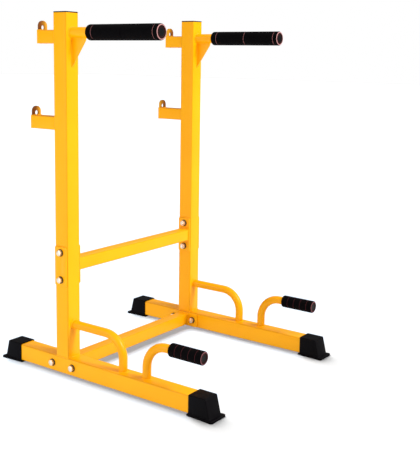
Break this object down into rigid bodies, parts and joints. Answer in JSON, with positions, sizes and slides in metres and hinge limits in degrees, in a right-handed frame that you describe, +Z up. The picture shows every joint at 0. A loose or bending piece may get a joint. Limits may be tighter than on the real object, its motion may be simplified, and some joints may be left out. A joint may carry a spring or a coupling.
{
  "type": "squat rack",
  "caption": "Free-standing squat rack with two posts on floor tubes, bar hooks at two heights, foam dip handles and low push-up handles.",
  "frame": {"origin": "on the floor, at the middle of the footprint of the four feet", "axes": "+X to the right along the crossbars, -Y to the front where the dip and push-up handles point, +Y to the rear where the bar hooks are, +Z up"},
  "size_m": [0.6602, 0.802, 1.0523],
  "materials": {
    "yellow_powder_coat": "glossy powder coat",
    "black_rubber": "matt moulded rubber",
    "black_plastic": "satin moulded plastic",
    "black_foam": "closed-cell foam, matt",
    "bright_zinc": "bright zinc plate"
  },
  "bodies": {
    "root": {"left_floor_tube": "yellow_powder_coat", "left_post": "yellow_powder_coat", "left_post_cap": "black_plastic", "left_upper_hook_arm": "yellow_powder_coat", "left_upper_hook_plate": "yellow_powder_coat", "left_lower_hook_arm": "yellow_powder_coat", "left_lower_hook_plate": "yellow_powder_coat", "left_dip_tube": "yellow_powder_coat", "left_dip_gusset": "yellow_powder_coat", "left_dip_grip": "black_foam", "left_dip_end_plug": "black_plastic", "left_brace": "yellow_powder_coat", "left_push_up_handle": "yellow_powder_coat", "left_push_up_grip": "black_foam", "left_push_up_end_plug": "black_plastic", "left_front_foot": "black_rubber", "left_rear_foot": "black_rubber", "left_backing_plate": "yellow_powder_coat", "left_middle_bolt_1": "bright_zinc", "left_middle_bolt_2": "bright_zinc", "left_middle_nut_1": "bright_zinc", "left_middle_nut_2": "bright_zinc", "left_lower_bolt_1": "bright_zinc", "left_lower_bolt_2": "bright_zinc", "left_lower_nut_1": "bright_zinc", "left_lower_nut_2": "bright_zinc", "right_floor_tube": "yellow_powder_coat", "right_post": "yellow_powder_coat", "right_post_cap": "black_plastic", "right_upper_hook_arm": "yellow_powder_coat", "right_upper_hook_plate": "yellow_powder_coat", "right_lower_hook_arm": "yellow_powder_coat", "right_lower_hook_plate": "yellow_powder_coat", "right_dip_tube": "yellow_powder_coat", "right_dip_gusset": "yellow_powder_coat", "right_dip_grip": "black_foam", "right_dip_end_plug": "black_plastic", "right_brace": "yellow_powder_coat", "right_push_up_handle": "yellow_powder_coat", "right_push_up_grip": "black_foam", "right_push_up_end_plug": "black_plastic", "right_front_foot": "black_rubber", "right_rear_foot": "black_rubber", "right_backing_plate": "yellow_powder_coat", "right_middle_bolt_1": "bright_zinc", "right_middle_bolt_2": "bright_zinc", "right_middle_nut_1": "bright_zinc", "right_middle_nut_2": "bright_zinc", "right_lower_bolt_1": "bright_zinc", "right_lower_bolt_2": "bright_zinc", "right_lower_nut_1": "bright_zinc", "right_lower_nut_2": "bright_zinc", "middle_crossbar": "yellow_powder_coat", "middle_crossbar_left_plate": "yellow_powder_coat", "middle_crossbar_right_plate": "yellow_powder_coat", "lower_crossbar": "yellow_powder_coat", "lower_crossbar_left_plate": "yellow_powder_coat", "lower_crossbar_right_plate": "yellow_powder_coat"}
  },
  "joints": []
}
